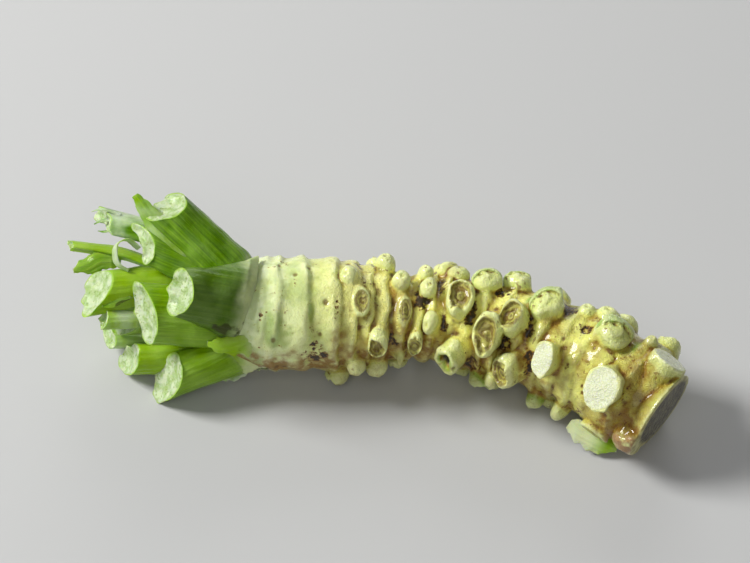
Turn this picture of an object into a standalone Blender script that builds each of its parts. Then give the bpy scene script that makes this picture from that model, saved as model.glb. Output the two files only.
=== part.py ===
"""A fresh wasabi root lying on its side: a knobbly rhizome with its leaf stalks cut short.

The tables are in millimetres and degrees. X runs along the root from the leaf stalks to the old
end, Z is up, and the root rests on Z = 0. The rhizome grew as one piece, with its knobs, so it is
one object. Each leaf stalk is an object of its own, nested against its neighbours at the crown.
"""

import math

import bmesh
import bpy
from mathutils import Matrix, Vector

MM = 0.001

# The middle of the whole object's plan, in the tables' axes: it is moved over the world's origin.
MIDDLE = (-1.1, -21.0, 0)

# Clearances between pieces that touch.
STALK_GAP = 0.3
CROWN_GAP = 0.5

# The rhizome's centre line, from inside the crown to beyond the old end.
SPINE = (
    (-62, -13.0, 22.5),
    (-50, -13.5, 22.0),
    (-25, -14.5, 20.5),
    (0, -13.5, 19.0),
    (20, -15.0, 17.5),
    (40, -20.0, 17.0),
    (60, -30.0, 17.0),
    (80, -48.0, 17.0),
    (92, -60.0, 17.0),
)
SPINE_STEPS = 24
CROWN_ALONG = 12.2  # where (-50, -13.5) lies along the centre line: the zero of every "along" below

# (along, radius): a pointed crown under the stalks, a waist, then thicker to the old end.
BODY_RADII = (
    (-7, 1.0),
    (-4, 6.0),
    (0, 9.0),
    (6, 12.5),
    (12, 15.0),
    (18, 16.0),
    (37, 15.5),
    (47, 13.8),
    (61, 11.5),
    (75, 11.6),
    (90, 12.6),
    (110, 13.2),
    (125, 14.0),
    (134, 13.6),
    (143, 11.0),
    (150, 10.0),
)
BODY_STEP = 3
CROWN_CUTTER_ALONG = (-8, 45)  # the stretch of the body that the leaf stalks are cut back from
BODY_SEGMENTS = 32

# The knife cut across the old end: where it crosses the centre line, and the way it faces.
OLD_END_ALONG = 140
OLD_END_NORMAL = (0.77, -0.61, -0.17)
OLD_END_BLOCK = 60  # the side of the block that is cut away beyond it

# Knobs: (along, clock, length along the root, width around it, height). The clock angle is 0 at
# the top and 90 at the front.
FRONT_KNOBS = (
    (42, -3, 5, 7, 3),
    (45, 28, 5, 8, 1.5),
    (44, 103, 6, 6, 5),
    (51, 119, 7, 7, 5),
    (52, -30, 5.5, 6, 5),
    (51, 68, 6, 8, 5),
    (56, -3, 5, 6, 4.5),
    (58, 34, 4, 8, 1.5),
    (58, 95, 4, 5, 5),
    (62, 71, 4.5, 8, 3.5),
    (63, -26, 4.5, 5, 4.5),
    (64, 1, 5, 6.5, 4.5),
    (67, 45, 5, 7, 4),
    (72, -47, 6.5, 7, 4.5),
    (74, 11, 8, 11, 4.5),
    (76, 78, 9, 10, 6),
    (81, -27, 8, 8.5, 5.5),
    (84, 116, 7, 6, 5),
    (85, 45, 9, 13, 5.5),
    (89, -45, 7, 7, 5.5),
    (89, 106, 5, 6, 5),
    (92, 22, 8, 10, 5),
    (95, 79, 9, 10, 5.5),
    (100, -8, 9, 11, 6),
    (103, 127, 6, 6, 5),
    (106, 52, 8, 10, 5),
    (109, -27, 5, 6, 3),
    (113, 125, 6, 6, 5),
    (114, -33, 7, 7, 4),
    (119, -4, 10, 10, 6),
    (127, 49, 10.5, 12.5, 4),
    (127, 120, 12, 8, 4),
    (128, -28, 4, 5, 3),
    (135, -12, 10, 12, 4),
    (135, 100, 9, 10, 4),
)

# Knobs behind and below follow the plant's golden-section spacing around the root.
BACK_KNOB_COUNT = 26
BACK_KNOB_ALONG = (40, 132)
BACK_KNOB_CLOCK = (148, 300)
GOLDEN_SECTION = 0.618
BACK_KNOB_SIZES = ((7, 9, 5), (6, 7, 4), (8, 10, 4.5), (5.5, 6.5, 5))

KNOB_SEGMENTS = 14
KNOB_ROOT = 4  # how deep a knob starts below the body's surface
KNOB_TOP_SHARE = 0.86
KNOB_LEAN = 0.25  # every knob leans towards the crown

# The rhizome's skin: fused from body and knobs, softened, then thinned to few faces.
SKIN_VOXEL = 0.9
SKIN_SMOOTHING = 4
SKIN_KEEP = 0.1

# Leaf stalks, outermost first: a later one is cut back where it meets an earlier one. Each runs
# from base to tip along the middle of its back, and "out" is the way its rounded back faces. A
# section is a crescent: width across, thickness at the back, and the angle that it wraps through,
# each given at even steps from base to tip. "horn" is its thickness at its edges, as a share of
# that at its back, "bow" is how far the stalk bends out halfway, and "cut" is the way that the
# knife's plane faces.
KNIFE_NORMAL = (-0.65, -0.43, 0.62)
LOW_KNIFE_NORMAL = (-0.85, -0.35, 0.35)
STALKS = (
    dict(name="leaf_stalk_front", base=(-34, -24, 34), tip=(-54, -24, 40), out=(0.6, -0.65, 0.42),
         width=(27, 18, 11.5), thick=(2.4, 5, 9.5), wrap=(120, 125, 120), horn=0.55, bow=0, cut=KNIFE_NORMAL),
    dict(name="leaf_stalk_top", base=(-40, -9.3, 33), tip=(-59, 4, 45), out=(0.35, -0.37, 0.86),
         width=(15.5, 12.5, 10.5), thick=(4, 7, 9), wrap=(120, 120), horn=0.6, bow=0, cut=(-0.3, 0.15, 0.91)),
    dict(name="leaf_stalk_front_low", base=(-38, -27.5, 16), tip=(-60, -29, 8.5), out=(0.4, -0.75, 0.3),
         width=(15, 12, 11.5), thick=(3, 8, 12), wrap=(110, 120, 125), horn=0.5, bow=0,
         cut=(-0.8, -0.42, 0.42)),
    dict(name="leaf_stalk_front_inner", base=(-43, -23.5, 28), tip=(-65, -21, 28), out=(0.35, -0.6, 0.67),
         width=(17, 16.5), thick=(3, 6, 9.5), wrap=(100, 105), horn=0.5, bow=0, cut=(-0.8, -0.52, 0.36)),
    dict(name="leaf_stalk_top_inner", base=(-46, -9.5, 32), tip=(-65, -3.5, 38.5), out=(0.5, -0.3, 0.8),
         width=(13.5, 11), thick=(3, 4.5), wrap=(110, 150), horn=0.5, bow=0, cut=KNIFE_NORMAL),
    dict(name="leaf_stalk_top_back", base=(-44, 0, 30), tip=(-79, 11, 34), out=(0.2, 0.45, 0.8),
         width=(13, 11), thick=(3, 5), wrap=(120, 150), horn=0.5, bow=1, cut=LOW_KNIFE_NORMAL),
    dict(name="leaf_stalk_low", base=(-44, -22, 11), tip=(-71.5, -21, 7.5), out=(0.1, -0.94, -0.3),
         width=(13, 12), thick=(3, 9), wrap=(110, 120), horn=0.5, bow=1, cut=LOW_KNIFE_NORMAL),
    dict(name="leaf_stalk_back", base=(-43, 1, 13), tip=(-69, 9, 4), out=(0.1, 0.8, -0.5),
         width=(15, 12), thick=(3, 5), wrap=(120, 130), horn=0.35, bow=1, cut=LOW_KNIFE_NORMAL),
    dict(name="leaf_stalk_low_inner", base=(-48, -11, 7), tip=(-78.5, -12, 7.5), out=(0, -0.2, -0.95),
         width=(13, 9), thick=(3, 7), wrap=(110, 120), horn=0.6, bow=1, cut=LOW_KNIFE_NORMAL),
    dict(name="leaf_stalk_heart_large", base=(-53, -8, 27), tip=(-80, -10.6, 25.8), out=(0, -0.2, 0.96),
         width=(12, 12), thick=(6, 9.5), wrap=(140, 150), horn=0.5, bow=0.5, cut=(-0.7, -0.15, 0.7)),
    dict(name="leaf_stalk_heart_small", base=(-54, -15, 18), tip=(-71, -15, 17), out=(0, -0.9, 0.2),
         width=(9, 8), thick=(3, 5.5), wrap=(100, 110), horn=0.6, bow=0, cut=KNIFE_NORMAL),
    dict(name="young_leaf_stalk", base=(-56, -3, 23), tip=(-89, 5, 28), out=(0, 0.5, 0.8),
         width=(8, 5, 3.6), thick=(4, 3), wrap=(80, 60), horn=0.5, bow=2, cut=LOW_KNIFE_NORMAL),
)
STALK_STEPS = 6
ARC_STEPS = 6
FOLD_SHARE = 0.8  # keeps the two sides of a thick crescent's hollow from crossing
SLANT_POWER = 3  # how gradually the sections turn from square to the knife's slant

RHIZOME_COLOUR = (0.55, 0.60, 0.24, 1)
STALK_COLOUR = (0.22, 0.42, 0.05, 1)

GROUND_SIZE = (300, 200, 40)  # the block below the resting plane


def clear_scene():
    for obj in list(bpy.data.objects):
        bpy.data.objects.remove(obj)


def material(name, colour, roughness):
    made = bpy.data.materials.new(name)
    made.use_nodes = True
    shader = made.node_tree.nodes["Principled BSDF"]
    shader.inputs["Base Color"].default_value = colour
    shader.inputs["Roughness"].default_value = roughness
    return made


def read_table(table, position):
    """The value at a position in a table of (position, value) rows, between rows in proportion."""
    if position <= table[0][0]:
        return table[0][1]
    for (start, low), (end, high) in zip(table, table[1:]):
        if position <= end:
            return low + (high - low) * (position - start) / (end - start)
    return table[-1][1]


def even_steps(values):
    """A table of (share, value) rows for values given at even steps from 0 to 1."""
    return [(index / (len(values) - 1), value) for index, value in enumerate(values)]


def smooth_curve(points, steps):
    """Points along a Catmull-Rom curve, which passes through each of the given points."""
    points = [Vector(point) for point in points]
    points = [2 * points[0] - points[1]] + points + [2 * points[-1] - points[-2]]
    curve = []
    for a, b, c, d in zip(points, points[1:], points[2:], points[3:]):
        for step in range(steps):
            t = step / steps
            curve.append(
                0.5 * (2 * b + (c - a) * t + (2 * a - 5 * b + 4 * c - d) * t**2
                       + (3 * b - a - 3 * c + d) * t**3)
            )
    return curve + [points[-2]]


class Spine:
    """The rhizome's centre line, read by distance along it."""

    def __init__(self):
        points = smooth_curve(SPINE, SPINE_STEPS)
        distances = [-CROWN_ALONG]
        for start, end in zip(points, points[1:]):
            distances.append(distances[-1] + (end - start).length)
        self.tables = [list(zip(distances, coordinates)) for coordinates in zip(*points)]

    def point(self, along):
        return Vector([read_table(table, along) for table in self.tables])

    def axes(self, along):
        """Unit vectors along the root, up, and towards the front."""
        ahead = (self.point(along + 1) - self.point(along - 1)).normalized()
        up = (Vector((0, 0, 1)) - ahead * ahead.z).normalized()
        return ahead, up, ahead.cross(up)

    def outward(self, along, clock):
        """The unit vector away from the centre line at a clock angle."""
        _, up, front = self.axes(along)
        angle = math.radians(clock)
        return math.cos(angle) * up + math.sin(angle) * front


def object_of(mesh_builder, name):
    """A new object from a bmesh that is in the tables' millimetres and axes."""
    bmesh.ops.recalc_face_normals(mesh_builder, faces=mesh_builder.faces)
    bmesh.ops.scale(mesh_builder, vec=(MM, MM, MM), verts=mesh_builder.verts)
    mesh = bpy.data.meshes.new(name)
    mesh_builder.to_mesh(mesh)
    mesh_builder.free()
    mesh.shade_smooth()
    obj = bpy.data.objects.new(name, mesh)
    obj.location = -Vector(MIDDLE) * MM
    bpy.context.scene.collection.objects.link(obj)
    return obj


def add_loft(builder, rings):
    """Closed skin over rings that all have the same number of points."""
    made = [[builder.verts.new(point) for point in ring] for ring in rings]
    count = len(rings[0])
    for lower, upper in zip(made, made[1:]):
        for i in range(count):
            j = (i + 1) % count
            builder.faces.new((lower[i], lower[j], upper[j], upper[i]))
    builder.faces.new(made[0])
    builder.faces.new(made[-1])


def body_rings(spine, start, end, grown):
    rings = []
    for index in range(math.ceil((end - start) / BODY_STEP) + 1):
        along = min(start + index * BODY_STEP, end)
        radius = read_table(BODY_RADII, along) + grown
        rings.append(
            [spine.point(along) + radius * spine.outward(along, 360 * i / BODY_SEGMENTS)
             for i in range(BODY_SEGMENTS)]
        )
    return rings


def back_knobs():
    """Knobs on the side away from the front, spread evenly by the golden section."""
    first, last = BACK_KNOB_ALONG
    low, high = BACK_KNOB_CLOCK
    knobs = []
    for index in range(BACK_KNOB_COUNT):
        along = first + (last - first) * index / (BACK_KNOB_COUNT - 1)
        clock = low + (high - low) * (index * GOLDEN_SECTION % 1)
        knobs.append((along, clock, *BACK_KNOB_SIZES[index % len(BACK_KNOB_SIZES)]))
    return knobs


def add_knob(builder, spine, along, clock, length, width, height):
    """A stubby knob, oval across the root, leaning a little towards the crown."""
    ahead, _, _ = spine.axes(along)
    out = spine.outward(along, clock)
    start = spine.point(along) + out * (read_table(BODY_RADII, along) - KNOB_ROOT)
    lean = (out - KNOB_LEAN * ahead).normalized()
    tall = KNOB_ROOT + height
    across = lean.cross(ahead).normalized()
    lengthwise = across.cross(lean)
    columns = (lengthwise * length / 2, across * width / 2, lean * tall)
    place = Matrix([(*row, 0) for row in zip(*columns)] + [(0, 0, 0, 1)])
    place.translation = start + lean * tall / 2
    bmesh.ops.create_cone(
        builder, cap_ends=True, segments=KNOB_SEGMENTS, radius1=1, radius2=KNOB_TOP_SHARE, depth=1,
        matrix=place,
    )


def make_rhizome(spine, cutters):
    builder = bmesh.new()
    add_loft(builder, body_rings(spine, BODY_RADII[0][0], BODY_RADII[-1][0], 0))
    for knob in FRONT_KNOBS + tuple(back_knobs()):
        add_knob(builder, spine, *knob)
    rhizome = object_of(builder, "rhizome")
    skin = rhizome.modifiers.new("skin", "REMESH")
    skin.mode = "VOXEL"
    skin.voxel_size = SKIN_VOXEL * MM
    skin.use_smooth_shade = True
    soften = rhizome.modifiers.new("soften", "SMOOTH")
    soften.iterations = SKIN_SMOOTHING
    thin = rhizome.modifiers.new("thin", "DECIMATE")
    thin.ratio = SKIN_KEEP
    for cutter in cutters:
        cut(rhizome, cutter)
    rhizome.data.materials.append(material("rhizome_skin", RHIZOME_COLOUR, 0.5))
    return rhizome


def crescent(width, thick, wrap, horn, grown):
    """A closed crescent outline as (across, out) points, centred halfway through its back."""
    half = math.radians(wrap) / 2
    radius = width / 2 / math.sin(half)
    fold = min(1, FOLD_SHARE * radius / thick)
    half += grown / radius
    back = []
    hollow = []
    for i in range(ARC_STEPS + 1):
        angle = half * (2 * i / ARC_STEPS - 1)
        across = (radius + grown) * math.sin(angle)
        out = (radius + grown) * math.cos(angle) - radius + thick / 2
        depth = thick * (1 - (1 - horn) * (angle / half) ** 2) + 2 * grown
        back.append((across, out))
        hollow.append((across - depth * math.sin(angle * fold), out - depth * math.cos(angle * fold)))
    return back + hollow[::-1]


def stalk_rings(stalk, grown):
    """Crescent sections from a stalk's base to its cut tip."""
    base = Vector(stalk["base"])
    tip = Vector(stalk["tip"])
    ahead = (tip - base).normalized()
    out = Vector(stalk["out"])
    out = (out - ahead * out.dot(ahead)).normalized()
    across_axis = ahead.cross(out)
    base -= ahead * grown
    tip += ahead * grown
    knife = Vector(stalk["cut"])
    rings = []
    for step in range(STALK_STEPS + 1):
        t = step / STALK_STEPS
        middle = base.lerp(tip, t) + out * stalk["bow"] * 4 * t * (1 - t)
        width, thick, wrap = [
            read_table(even_steps(stalk[key]), t) for key in ("width", "thick", "wrap")
        ]
        ring = []
        for across, raised in crescent(width, thick, wrap, stalk["horn"], grown):
            point = across_axis * across + out * raised
            slant = t**SLANT_POWER * point.dot(knife) / ahead.dot(knife)
            ring.append(middle + point - ahead * slant)
        rings.append(ring)
    return rings


def cutter_of(builder, name):
    cutter = object_of(builder, name)
    cutter.hide_render = True
    cutter.display_type = "WIRE"
    return cutter


def make_loft_cutter(name, rings):
    builder = bmesh.new()
    add_loft(builder, rings)
    return cutter_of(builder, name)


def make_ground_cutter():
    """A block below the resting plane, which flattens what would reach through it."""
    builder = bmesh.new()
    middle = Vector(MIDDLE) - Vector((0, 0, GROUND_SIZE[2] / 2))
    place = Matrix.Translation(middle) @ Matrix.Diagonal((*GROUND_SIZE, 1))
    bmesh.ops.create_cube(builder, size=1, matrix=place)
    return cutter_of(builder, "ground_cutter")


def make_old_end_cutter(spine):
    """A block beyond the knife cut across the old end."""
    builder = bmesh.new()
    normal = Vector(OLD_END_NORMAL).normalized()
    place = normal.to_track_quat("Z", "Y").to_matrix().to_4x4()
    place.translation = spine.point(OLD_END_ALONG) + normal * OLD_END_BLOCK / 2
    bmesh.ops.create_cube(builder, size=OLD_END_BLOCK, matrix=place)
    return cutter_of(builder, "old_end_cutter")


def cut(target, cutter):
    modifier = target.modifiers.new("cut by " + cutter.name, "BOOLEAN")
    modifier.operation = "DIFFERENCE"
    modifier.object = cutter


def keep_largest_body(obj):
    """Applies the cuts, then drops the loose chips that they leave at the crown."""
    graph = bpy.context.evaluated_depsgraph_get()
    builder = bmesh.new()
    builder.from_object(obj, graph)
    bodies = []
    waiting = set(builder.verts)
    while waiting:
        body = set()
        front = [waiting.pop()]
        while front:
            vert = front.pop()
            body.add(vert)
            for edge in vert.link_edges:
                other = edge.other_vert(vert)
                if other in waiting:
                    waiting.remove(other)
                    front.append(other)
        bodies.append(body)
    bodies.sort(key=len)
    for body in bodies[:-1]:
        bmesh.ops.delete(builder, geom=list(body), context="VERTS")
    obj.modifiers.clear()
    builder.to_mesh(obj.data)
    builder.free()


def main():
    clear_scene()
    spine = Spine()
    ground = make_ground_cutter()
    make_rhizome(spine, (make_old_end_cutter(spine), ground))
    crown = make_loft_cutter("crown_cutter", body_rings(spine, *CROWN_CUTTER_ALONG, CROWN_GAP))
    cutters = [ground, crown]
    green = material("stalk_skin", STALK_COLOUR, 0.4)
    for stalk in STALKS:
        builder = bmesh.new()
        add_loft(builder, stalk_rings(stalk, 0))
        piece = object_of(builder, stalk["name"])
        piece.data.materials.append(green.copy())
        for cutter in cutters:
            cut(piece, cutter)
        keep_largest_body(piece)
        grown = stalk_rings(stalk, STALK_GAP)
        cutters.append(make_loft_cutter(stalk["name"] + "_cutter", grown))


main()
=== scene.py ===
"""The looks of a fresh wasabi root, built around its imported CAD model.

Lengths in the tables are millimetres and angles are degrees, in the CAD tables' own axes: "along"
runs down the rhizome's centre line from the crown to the old end, and "clock" runs around it, 0 at
the top and 90 at the front. Meshes are made in those axes and placed by MIDDLE.
"""

import math
from functools import partial, reduce

import bpy
import numpy as np
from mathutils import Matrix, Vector


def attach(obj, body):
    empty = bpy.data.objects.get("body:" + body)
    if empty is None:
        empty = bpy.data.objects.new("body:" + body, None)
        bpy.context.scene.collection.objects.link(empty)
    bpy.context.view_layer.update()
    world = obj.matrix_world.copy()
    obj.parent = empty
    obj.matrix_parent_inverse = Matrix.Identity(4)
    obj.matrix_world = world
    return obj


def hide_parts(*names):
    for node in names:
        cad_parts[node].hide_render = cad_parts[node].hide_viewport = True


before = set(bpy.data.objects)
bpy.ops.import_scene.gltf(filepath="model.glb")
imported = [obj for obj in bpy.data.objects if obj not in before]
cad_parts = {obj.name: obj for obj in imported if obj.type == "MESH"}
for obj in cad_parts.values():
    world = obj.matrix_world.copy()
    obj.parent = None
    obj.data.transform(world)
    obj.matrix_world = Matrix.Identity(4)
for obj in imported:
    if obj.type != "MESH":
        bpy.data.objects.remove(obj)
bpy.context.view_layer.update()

MM = 0.001
TINY = 1e-9  # keeps a vector of no length from being divided by zero
MIDDLE = np.array((-1.1, -21.0, 0.0))  # the frame's origin in the tables' axes

# ---- the rhizome's design

# Points on the centre line, the crown first.
SPINE = (
    (-62, -13.0, 22.5), (-50, -13.5, 22.0), (-25, -14.5, 20.5), (0, -13.5, 19.0),
    (20, -15.0, 17.5), (40, -20.0, 17.0), (60, -30.0, 17.0), (80, -48.0, 17.0),
    (92, -60.0, 17.0),
)
SPINE_STEPS = 24
CROWN_ALONG = 12.2  # the centre line's length before "along" starts at the crown

# (along, radius) of the body without its rings and knobs.
BODY_RADII = (
    (-7, 1.0), (-4, 6.0), (0, 9.0), (6, 12.5), (12, 15.0), (18, 16.0), (37, 15.5),
    (47, 13.8), (61, 11.5), (75, 11.6), (90, 12.6), (110, 13.2), (125, 14.0), (131, 14.6),
    (134, 11.8), (137, 10.9), (141, 12.6), (150, 12.6),
)
OLD_END_ALONG = 140
OLD_END_NORMAL = (0.76, -0.64, -0.11)
OLD_END_RIM = 2.4  # how thick the paler rind around the old end's cut face is

# Knobs: (kind, along, clock, length along the root, width around it, height, and how far it leans
# towards the old end and to a larger clock angle).
FRONT_KNOBS = (
    ("ball", 42, -3, 5, 7, 3, -20, 0),
    ("scar", 45, 28, 5, 8, 1.5, 0, 0),
    ("ball", 44, 103, 6, 6, 5, 0, 10),
    ("ball", 51, 119, 7, 7, 5, 0, 0),
    ("ball", 52, -30, 5.5, 6, 5, 0, 0),
    ("cup", 51, 68, 6, 8, 5, -10, 20),
    ("ball", 56, -3, 5, 6, 4.5, 10, 0),
    ("scar", 58, 34, 4, 8, 1.5, 0, 0),
    ("cone", 58, 95, 4, 5, 5, 0, 10),
    ("cup", 62, 71, 4.5, 8, 3.5, 0, 15),
    ("ball", 63, -26, 4.5, 5, 4.5, 0, 0),
    ("ball", 64, 1, 5, 6.5, 4.5, 10, 0),
    ("ball", 67, 45, 5, 7, 4, -25, 0),
    ("ball", 72, -47, 6.5, 7, 4.5, 10, 0),
    ("cup", 74, 11, 8, 11, 4.5, 0, 0),
    ("tube", 76, 78, 9, 10, 6, -30, 15),
    ("bud", 81, -27, 8, 8.5, 5.5, -15, 10),
    ("bud", 84, 116, 7, 6, 5, 0, 0),
    ("cup", 85, 45, 9, 13, 5.5, -5, 0),
    ("bud", 89, -45, 7, 7, 5.5, -20, 10),
    ("ball", 89, 106, 5, 6, 5, -10, 0),
    ("cup", 92, 22, 8, 10, 5, -15, 0),
    ("cup", 95, 79, 9, 10, 5.5, -35, 5),
    ("bud", 100, -8, 9, 11, 6, -20, 0),
    ("bud", 103, 127, 6, 6, 5, 0, 0),
    ("cut", 106, 52, 8, 10, 5, -15, 0),
    ("ball", 109, -27, 5, 6, 3, 0, 0),
    ("ball", 113, 125, 6, 6, 5, -10, 0),
    ("ball", 114, -33, 7, 7, 4, 0, 0),
    ("bud", 119, -4, 10, 10, 6, 20, -8),
    ("cut", 127, 49, 10.5, 12.5, 4, 0, 0),
    ("scar", 127, 118, 9, 8, 2, 0, 0),
    ("ball", 128, -28, 4, 5, 3, 0, 0),
    ("cut", 135, -14, 10, 11, 4.5, 10, -28),
    ("stub", 137, 112, 9, 12, 4.5, 15, 5),
)
BACK_KNOB_COUNT = 26
BACK_KNOB_ALONG = (40, 132)
BACK_KNOB_CLOCK = (148, 300)
GOLDEN_SECTION = 0.618
BACK_KNOB_SIZES = ((7, 9, 5), (6, 7, 4), (8, 10, 4.5), (5.5, 6.5, 5))
BACK_KNOB_KINDS = ("cup", "ball", "bud", "cup", "cut")
BACK_KNOB_LEAN = -12

CELL = 0.45  # the grid that the rhizome's surface is read from
GRID_ALONG = (-8.5, 147)
GRID_REACH = 23.5


# ---- small helpers


def smooth_step(low, high, value):
    t = np.clip((value - low) / (high - low), 0, 1)
    return t * t * (3 - 2 * t)


def smooth_curve(points, steps):
    """Points along a Catmull-Rom curve, which passes through each of the given points."""
    points = np.array(points, float)
    points = np.vstack((2 * points[0] - points[1], points, 2 * points[-1] - points[-2]))
    curve = []
    for a, b, c, d in zip(points, points[1:], points[2:], points[3:]):
        for step in range(steps):
            t = step / steps
            curve.append(
                0.5 * (2 * b + (c - a) * t + (2 * a - 5 * b + 4 * c - d) * t**2
                       + (3 * b - a - 3 * c + d) * t**3)
            )
    return np.array(curve + [points[-2]])


def hill(offset, width):
    """1 at no offset, falling smoothly to 0 past a width to either side."""
    return np.exp(-((offset / width) ** 2))


def unit(vectors):
    vectors = np.asarray(vectors, float)
    return vectors / np.linalg.norm(vectors, axis=-1, keepdims=True)


# Large odd numbers, which scatter the bits of a corner's place and its seed.
SCATTER = (374761393, 668265263, 2147483647, 144665)
SCATTER_AGAIN = 1274126177
LOW_32_BITS = 0xFFFFFFFF
LOW_16_BITS = 0xFFFF


def lattice_value(x, y, z, seed):
    """A fixed pseudo-random number from -1 to 1 for each whole-number corner."""
    mixed = sum(value * factor for value, factor in zip((x, y, z, seed), SCATTER)) & LOW_32_BITS
    mixed = ((mixed ^ (mixed >> 13)) * SCATTER_AGAIN) & LOW_32_BITS
    mixed = (mixed ^ (mixed >> 16)) & LOW_16_BITS
    return mixed / (LOW_16_BITS / 2) - 1


def noise(points, size, seed=0, octaves=1):
    """Smooth noise from about -1 to 1 at each point, with features of the given size."""
    total = np.zeros(points.shape[:-1])
    strength = 1.0
    for octave in range(octaves):
        scaled = points / size * 2**octave + 1000
        corner = np.floor(scaled).astype(np.int64)
        x, y, z = np.moveaxis(scaled - corner, -1, 0)
        x, y, z = (v * v * (3 - 2 * v) for v in (x, y, z))
        i, j, k = np.moveaxis(corner, -1, 0)
        for di, wx in ((0, 1 - x), (1, x)):
            for dj, wy in ((0, 1 - y), (1, y)):
                for dk, wz in ((0, 1 - z), (1, z)):
                    value = lattice_value(i + di, j + dj, k + dk, seed + octave)
                    total += strength * wx * wy * wz * value
        strength /= 2
    return total


def read_table(table, steps, places):
    """A table's rows of three, read in proportion at each place on its own steps."""
    return np.stack([np.interp(places, steps, table[:, axis]) for axis in range(3)], axis=-1)


class Spine:
    """The rhizome's centre line and the axes across it, read by distance along it."""

    def __init__(self):
        self.points = smooth_curve(SPINE, SPINE_STEPS)
        lengths = np.linalg.norm(np.diff(self.points, axis=0), axis=1)
        self.along = np.concatenate(([0], np.cumsum(lengths))) - CROWN_ALONG
        self.ahead = unit(np.gradient(self.points, axis=0))
        self.up = unit(np.array((0, 0, 1)) - self.ahead * self.ahead[:, 2:])
        self.front = np.cross(self.ahead, self.up)

    def read(self, table, along):
        return read_table(table, self.along, along)

    def middle(self, along):
        return self.read(self.points, along)

    def bend(self, straight):
        """Points given as (along, front, up) from a straight centre line, in the tables' axes."""
        along, front, up = straight.T
        return (
            self.middle(along)
            + front[:, None] * self.read(self.front, along)
            + up[:, None] * self.read(self.up, along)
        )


SPINE_CURVE = Spine()


def body_radius(along):
    return np.interp(along, *np.array(BODY_RADII).T)


# ---- the rhizome's skin relief

# Where the lips of the leaf-scar rings lie along the root, and (along, height) of them.
RINGS = (
    -20, 8, 17, 21.5, 29.5, 38.5, 43.5, 48, 52.5, 57.5, 62, 66.5, 71.5, 77, 82.5, 88, 94, 100.5,
    107, 114, 121.5, 131, 150, 170,
)
RING_HEIGHTS = (
    (0, 0.3), (17, 0.3), (22, 0.9), (38, 1.2), (50, 1.0), (70, 1.3), (100, 1.0), (125, 0.6),
    (150, 0.0),
)
RING_WOBBLES = ((1.6, 9, 0), (0.8, 3.5, 3))  # (how far the lips wander, over what distance, seed)
RING_DROP = 0.22  # the share of the way to the next ring over which a lip drops
WING_HEIGHT = 1.05  # the ridge that runs to each side of a knob
WING_REACH = 5.0  # mm around the root past the knob's side, and half its width along the root
WING_WIDTH = 1.7
WING_SIDE_FADE = 1.5
BUMPS = ((0.5, 11, 20, 1), (0.16, 2.6, 23, 2))  # the skin's own (height, size, seed, octaves)
CALM_CROWN = (-6, 14)  # relief grows over these distances along, and fades again over the next
CALM_OLD_END = (141, 128)

# Patches: (along, clock, half length, half width in mm around the root, strength).
BLACK_PATCHES = (
    (1, 88, 4, 5, 0.9), (4, 104, 4, 5, 1.0), (8, 116, 5, 3, 0.9), (12, 126, 7, 4, 1.0),
    (17.5, 50, 0.5, 5, 0.9), (19, 88, 0.8, 2, 0.8), (32, 89, 3.4, 4, 1.0), (38, 35, 0.7, 4, 0.7),
    (53.5, 75, 3, 2.5, 1.0), (60.5, 88, 2, 3, 0.8), (63, 22, 2.2, 6, 1.0), (64.5, 40, 2, 4, 0.9),
    (68, -15, 2, 3, 0.8), (70.5, 50, 1.5, 3, 0.7), (78, 22, 2, 4, 0.9), (85, -20, 3, 3, 0.9),
    (80, 95, 4, 3, 0.8), (90, 66, 3, 5, 0.9), (97, 3, 2, 5, 0.7), (100, 60, 2, 6, 0.8),
    (98, 35, 2, 4, 0.6), (104, -18, 4, 3, 0.8), (112, 0, 1.6, 1.8, 1.0), (111, 118, 3, 3, 0.7),
    (126, 5, 4, 4, 0.6), (132.5, 50, 1, 5, 0.6), (119, 110, 4, 3, 0.7),
)
# The long rows at clock 104 to 110 near the crown darken its lower side: partly brown staining, partly
# painted shade.
BROWN_PATCHES = (
    (9, 104, 7, 7, 1.0), (20, 108, 12, 6, 1.0), (34, 110, 12, 7, 1.0), (98, 104, 12, 6, 0.9),
    (48, 108, 14, 8, 1.0), (39, 80, 3, 6, 0.7), (49, 90, 4, 4, 0.9), (57, 45, 4, 6, 0.8),
    (56, 15, 2, 4, 0.7), (70, -45, 3, 3, 0.9), (65, 92, 9, 7, 1.0), (75, 106, 12, 6, 1.0),
    (86, 75, 6, 5, 0.9), (97, 65, 5, 6, 0.9), (103, 25, 4, 6, 0.7), (112, 60, 3, 8, 0.5),
    (118, 30, 3, 8, 0.5), (128, -8, 6, 7, 0.8), (132, 20, 3, 8, 0.7), (133, 60, 4, 8, 0.6),
    (137, 60, 3, 9, 0.7), (136, 100, 8, 9, 1.0), (124, 85, 4, 6, 0.4),
)
GREEN_PATCHES = (
    (15, 25, 6, 14, 0.5), (22, 58, 3.5, 6, 0.8), (31, 42, 0.8, 3, 1.0), (27, 5, 7, 9, 0.5),
    (14, 95, 6, 7, 0.7), (34, 70, 4, 6, 0.4),
)
PATCH_RAGGED = 0.75  # how far noise shifts a patch's edge, as a squared distance
PATCH_FADE = (1.7, 0.1)  # squared distances, in half sizes, where a patch starts and is full
CRUST_DEPTH = 0.35
PIT_COUNT = 110
PIT_ALONG = (20, 134)
PIT_SIZES = (0.35, 0.95)
PIT_DEPTH = 0.5
SEED = 7


def cylinder_points(along, clock_radians):
    """Points on the rhizome's mean surface, which make noise seamless around it."""
    radius = body_radius(along)
    return np.stack((along, radius * np.sin(clock_radians), radius * np.cos(clock_radians)), axis=-1)


def around(first, second, along):
    """Signed distance in mm around the root between two clock angles in degrees."""
    return np.radians((first - second + 180) % 360 - 180) * body_radius(along)


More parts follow.
